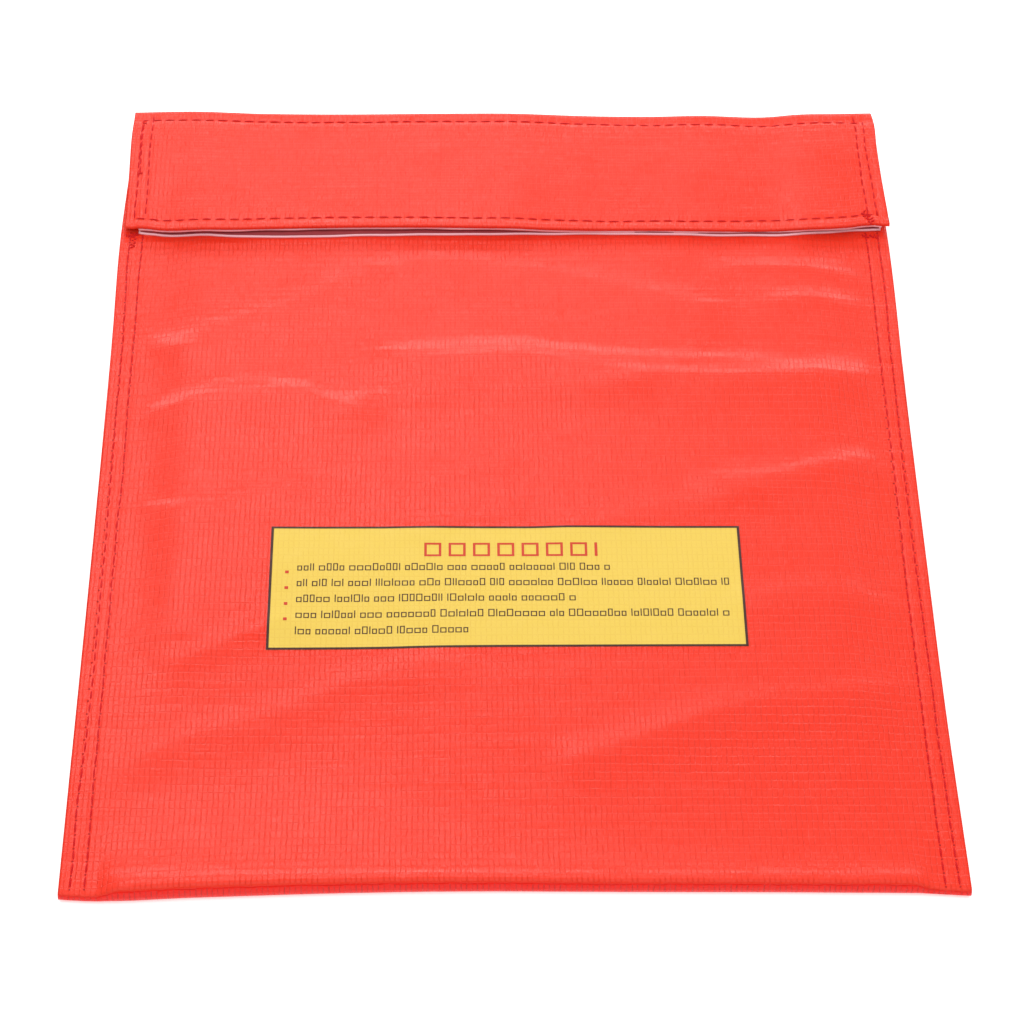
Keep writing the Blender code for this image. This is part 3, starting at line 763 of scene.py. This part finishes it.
def under_back(x, y):
    """Outer face of the back."""
    return back_z(x, y) - CLOTH / 2


def over_flap(x, y):
    """Upper face of the flap."""
    return flap_z(nominal(x, y, FLAP_LEFT, FLAP_RIGHT), y) + CLOTH / 2


def under_hook_tape(x, y):
    """Lower face of the hook tape's ground."""
    return hook_base(nominal(x, y, FLAP_LEFT, FLAP_RIGHT), y) - TAPE


def over_loop_tape(x, y):
    """Upper face of the loop tape's ground."""
    return loop_base(nominal(x, y, FLAP_LEFT, BODY_RIGHT), y) + TAPE


def make_side_seams():
    """Two rows of lockstitch down each side, above and below."""
    for side, sign in (("left", -1), ("right", 1)):
        for row, at in (("outer", OUTER_ROW), ("inner", INNER_ROW)):
            path = line((BODY_LEFT, BODY_RIGHT), (SEAM_START, 0.0985), sign * at)
            stitch_row(f"{side}_{row}_needle_stitches", path, SEAM_PITCH, over_front, 1, RED_THREAD,
                       "red_thread", "pouch", [f"{side}_{row}_seam_needle_thread"], hole_shades=True)
            path = line((BODY_LEFT, BODY_RIGHT), (SEAM_START, 0.1440), sign * at)
            stitch_row(f"{side}_{row}_bobbin_stitches", path, SEAM_PITCH, under_back, -1,
                       RED_THREAD, "red_thread", "pouch", [f"{side}_{row}_seam_bobbin_thread"])


def make_flap_seams():
    """The flap's rectangle of stitches, its two side hems, and where threads start and end."""
    u = np.linspace(-FLAP_OUTER_ROW, FLAP_OUTER_ROW, 80)
    low = hem_row(u)
    bottom = np.stack([outline(u, low, FLAP_LEFT, FLAP_RIGHT), low], -1)
    high = top_row(u)
    top = np.stack([outline(u, high, FLAP_LEFT, FLAP_RIGHT), high], -1)
    right = line((FLAP_LEFT, FLAP_RIGHT), (low[-1], high[-1]), FLAP_OUTER_ROW)
    left = line((FLAP_LEFT, FLAP_RIGHT), (high[0], low[0]), -FLAP_OUTER_ROW)
    path = np.concatenate([bottom, right[1:], top[::-1][1:], left[1:]])
    stitch_row("flap_stitches", path, FLAP_PITCH, over_flap, 1, RED_THREAD, "red_thread", "flap",
               ["flap_seam_thread"])
    inside = np.abs(path[:, 0]) < TAPE_ENDS[1]
    inside &= path[:, 1] < FLAP_EDGE_Y + TAPE_WIDTH - 0.0008
    stitch_row("flap_stitches_below", path[inside & (path[:, 1] < 0.11)], FLAP_PITCH,
               under_hook_tape, -1, WHITE_THREAD, "white_thread", "flap")
    again = line((FLAP_LEFT, FLAP_RIGHT), (0.1432, 0.1205), -FLAP_OUTER_ROW + 0.0005)
    stitch_row("flap_overlap_stitches", again, FLAP_PITCH, over_flap, 1, RED_THREAD, "red_thread",
               "flap")
    for side, sign in (("left", -1), ("right", 1)):
        run = line((FLAP_LEFT, FLAP_RIGHT), (low[0] + 0.001, 0.1470), sign * FLAP_INNER_ROW)
        stitch_row(f"{side}_hem_stitches", run, FLAP_PITCH, over_flap, 1, RED_THREAD, "red_thread",
                   "flap", [f"{side}_flap_hem_thread"])


def tack(name, start, end, width, count, surface, body):
    """A zigzag of close stitches from start to end, where a seam is locked."""
    start, end = np.array(start), np.array(end)
    sideways = np.array([end[1] - start[1], start[0] - end[0]]) / np.linalg.norm(end - start)
    path = [start + (end - start) * t / count + sideways * width * (t % 2 - 0.5)
            for t in range(count + 1)]
    stitch_row(name, path + RANDOM.normal(0, 0.0001, (count + 1, 2)), 0.0013, surface, 1,
               RED_THREAD, "red_thread", body)


def make_tacks():
    """Locked ends of the seams at the mouth's two sides and on the flap's left margin."""
    tack("left_mouth_tack", (-0.1150, 0.0972), (-0.1112, 0.0978), 0.0014, 7, over_front, "pouch")
    tack("left_seam_tack", (-0.1122, 0.0975), (-0.1128, 0.0915), 0.0013, 7, over_front, "pouch")
    tack("right_mouth_tack", (0.1085, 0.0972), (0.1138, 0.0968), 0.0015, 8, over_front, "pouch")
    tack("right_corner_tack", (0.1092, 0.1040), (0.1120, 0.0990), 0.0022, 9, over_flap, "flap")
    for number, y in enumerate((0.1436, 0.1210)):
        tack(f"left_margin_tack_{number + 1}", (-0.1122, y), (-0.1112, y - 0.0006), 0.0006, 3,
             over_flap, "flap")


def make_loop_tape_stitches():
    """The rectangle of white stitches that holds the loop tape."""
    u = np.linspace(TAPE_ENDS[0] + 0.0012, TAPE_ENDS[1] - 0.0012, 60)
    low = loop_edge(u) + 0.0028
    high = FLAP_EDGE_Y + TAPE_WIDTH - 0.0009 + 0 * u
    across = outline(u, low, FLAP_LEFT, BODY_RIGHT), outline(u, high, FLAP_LEFT, BODY_RIGHT)
    path = np.concatenate([np.stack([across[0], low], -1), np.stack([across[1], high], -1)[::-1],
                           [[across[0][0], low[0]]]])
    stitch_row("loop_tape_stitches", path, 0.003, over_loop_tape, 1, WHITE_THREAD, "white_thread",
               "pouch", ["loop_tape_thread"])


# ---- The printed label ----------------------------------------------------------------------
LABEL_X, LABEL_Y = -0.0013, -0.0484
LABEL_WIDTH, LABEL_HEIGHT = 0.1296, 0.0440
LABEL_RULE = 0.0007
FIELD_HEIGHT, PRINT_HEIGHT = 0.00006, 0.0001      # of each layer of ink, above the cloth
HEADING_BOX = (0.0047, 0.0050)
HEADING_COUNT = 7
HEADING_GAP = 0.0020
HEADING_STROKE = 0.0007
HEADING_STEM = 0.0008
HEADING_TOP, HEADING_DROP = 0.0062, 0.0112    # below the label's edge: its top and its foot
HEADING_SHIFT, HEADING_WIDTH = 0.0020, 0.049
LINE_LENGTHS = (0.087, 0.118, 0.076, 0.118, 0.049)
LINE_START = 0.0076       # from the label's left edge,
LINE_DROP = 0.0153        # and from its upper edge to the first line
LINE_PITCH = 0.00563
BULLETS = 4
BULLET_INSET = 0.0028     # from a line's start back to its bullet's middle
BULLET_HALF = 0.0005
BULLET_FOOT, BULLET_TOP = 0.0020, 0.0010      # below its line's place
MARK_STROKE = 0.00030
MARK_FOOT, MARK_TOP = 0.0010, 0.0016      # of a stem, below and above its line's place
MARK_GAP, WORD_GAP = 0.00045, 0.0009
MARK_WIDTHS = (0.0, 0.0013, 0.0015, 0.0017)       # 0 is a stem
MARK_HEIGHTS = (0.0018, 0.0018, 0.0018, 0.0026)


def print_patches(name, boxes, height, finish, slot, spacing=0.002, stands_for=()):
    """Thin layers of print over several boxes (x0, x1, y0, y1), as one mesh."""
    points, faces, flat = [], [], []
    for x0, x1, y0, y1 in boxes:
        x, y = np.meshgrid(steps(x0, x1, spacing), steps(y0, y1, spacing))
        z = front_z(x, y) + CLOTH / 2 + height
        base = len(points)
        rows, columns = x.shape
        points += np.stack([x, y, z], -1).reshape(-1, 3).tolist()
        index = base + np.arange(rows * columns).reshape(rows, columns)
        quads = np.stack([index[:-1, :-1], index[:-1, 1:], index[1:, 1:], index[1:, :-1]], -1)
        faces += quads.reshape(-1, 4).tolist()
        flat += np.stack([x, y], -1).reshape(-1, 2).tolist()
    mesh = bpy.data.meshes.new(name)
    mesh.from_pydata(points, [], faces)
    layer = mesh.uv_layers.new(name="cloth")
    corners = np.zeros(len(mesh.loops), np.int32)
    mesh.loops.foreach_get("vertex_index", corners)
    layer.data.foreach_set("uv", np.array(flat, np.float32)[corners].ravel())
    mesh.shade_smooth()
    add(name, mesh, finish, slot, body="pouch", stands_for=stands_for)


def open_box(x, y, width, height, stroke):
    """The four strokes of an open box with its lower left corner at (x, y)."""
    top, right = y + height, x + width
    return [(x, right, y, y + stroke), (x, right, top - stroke, top),
            (x, x + stroke, y + stroke, top - stroke),
            (right - stroke, right, y + stroke, top - stroke)]


def placeholder_line(start, length, y):
    """Marks that stand for a line of words: small open boxes and stems in groups."""
    marks, x, to_gap = [], start, RANDOM.integers(3, 9)
    while x < start + length - 0.0012:
        width = RANDOM.choice(MARK_WIDTHS)
        height = RANDOM.choice(MARK_HEIGHTS)
        if width:
            marks += open_box(x, y - MARK_FOOT, width, height, MARK_STROKE)
        else:
            width = MARK_STROKE
            marks.append((x, x + width, y - MARK_FOOT, y + MARK_TOP))
        x += width + MARK_GAP
        to_gap -= 1
        if not to_gap:
            x, to_gap = x + WORD_GAP, RANDOM.integers(3, 9)
    return marks


def make_label():
    """A framed yellow field, a heading and five lines, with marks in place of words."""
    left, right = LABEL_X - LABEL_WIDTH / 2, LABEL_X + LABEL_WIDTH / 2
    low, high = LABEL_Y - LABEL_HEIGHT / 2, LABEL_Y + LABEL_HEIGHT / 2
    rule = LABEL_RULE
    print_patches("label_field_print", [(left, right, low, high)], FIELD_HEIGHT, YELLOW,
                  "yellow_ink", 0.0014, stands_for=["label_field"])
    edges = [(left, right, low, low + rule), (left, right, high - rule, high),
             (left, left + rule, low, high), (right - rule, right, low, high)]
    print_patches("label_rule_print", edges, PRINT_HEIGHT, BROWN, "brown_ink",
                  stands_for=["label_rule"])
    heading, x = [], LABEL_X + HEADING_SHIFT - HEADING_WIDTH / 2
    foot = high - HEADING_DROP
    for _ in range(HEADING_COUNT):
        heading += open_box(x, foot, *HEADING_BOX, HEADING_STROKE)
        x += HEADING_BOX[0] + HEADING_GAP
    heading.append((x, x + HEADING_STEM, foot, high - HEADING_TOP))
    print_patches("label_heading_print", heading, PRINT_HEIGHT, RED_INK, "red_ink",
                  stands_for=["label_heading_bar"])
    start = left + LINE_START
    for number, length in enumerate(LINE_LENGTHS):
        y = high - LINE_DROP - LINE_PITCH * number
        print_patches(f"label_line_{number + 1}_print", placeholder_line(start, length, y),
                      PRINT_HEIGHT, BROWN, "brown_ink", stands_for=[f"label_line_{number + 1}"])
        if number < BULLETS:
            x = start - BULLET_INSET
            print_patches(f"label_bullet_{number + 1}_print",
                          [(x - BULLET_HALF, x + BULLET_HALF, y - BULLET_FOOT, y - BULLET_TOP)],
                          PRINT_HEIGHT, RED_INK, "red_ink", BULLET_HALF,
                          stands_for=[f"label_bullet_{number + 1}"])


# ---- Camera, floor and lights ---------------------------------------------------------------
def make_camera():
    """The camera, beyond the bottom fold and high above it, a little to the left."""
    data = bpy.data.cameras.new("camera")
    data.sensor_width = 36
    data.lens = 115.28
    camera = bpy.data.objects.new("camera", data)
    bpy.context.scene.collection.objects.link(camera)
    camera.location = (-0.01556, -0.64921, 0.66808)
    camera.rotation_mode = "YXZ"
    camera.rotation_euler = (radians(43.490), radians(-0.938), radians(-0.106))
    bpy.context.scene.camera = camera


def make_floor():
    """A plain white floor."""
    mesh = bpy.data.meshes.new("floor")
    reach = 3.0
    mesh.from_pydata([(-reach, -reach, 0), (reach, -reach, 0), (reach, reach, 0),
                      (-reach, reach, 0)], [], [(0, 1, 2, 3)])
    floor = bpy.data.objects.new("floor", mesh)
    bpy.context.scene.collection.objects.link(floor)
    nodes = Nodes("floor_look")
    mesh.materials.append(nodes.finish(Base_Color=(0.95, 0.95, 0.95, 1), Roughness=0.9,
                                      Emission_Color=(1, 1, 1, 1), Emission_Strength=0.4))


def area_light(name, place, aim, width, height, power):
    """A soft rectangular light at place, turned to aim."""
    data = bpy.data.lights.new(name, "AREA")
    data.shape = "RECTANGLE"
    data.size, data.size_y = width, height
    data.energy = power
    made = bpy.data.objects.new(name, data)
    bpy.context.scene.collection.objects.link(made)
    made.location = place
    away = made.location.copy()
    away[0], away[1], away[2] = (p - a for p, a in zip(place, aim))
    made.rotation_euler = away.to_track_quat("Z", "Y").to_euler()


def make_lights():
    """Soft boxes behind the bag, a large one in front, and pale light from all round."""
    area_light("low_back_box", (0, 1.48, 0.60), (0, 0, 0), 2.0, 0.36, 13.5)
    area_light("back_left_box", (-0.25, 1.00, 1.23), (0, 0, 0), 0.75, 0.32, 4.2)
    area_light("high_back_box", (0, 0.78, 1.40), (0, 0, 0), 3.4, 1.16, 9)
    area_light("front_box", (0, -0.75, 1.95), (0, 0, 0), 3.0, 2.4, 38)
    world = bpy.data.worlds.new("world")
    world.use_nodes = True
    background = world.node_tree.nodes["Background"]
    background.inputs["Color"].default_value = (1, 1, 1, 1)
    background.inputs["Strength"].default_value = 0.34
    bpy.context.scene.world = world
    bpy.context.scene.view_settings.view_transform = "Standard"


make_camera()
make_floor()
make_lights()
make_body()
make_lining()
make_flap()
make_tapes()
make_side_seams()
make_flap_seams()
make_tacks()
make_loop_tape_stitches()
make_label()
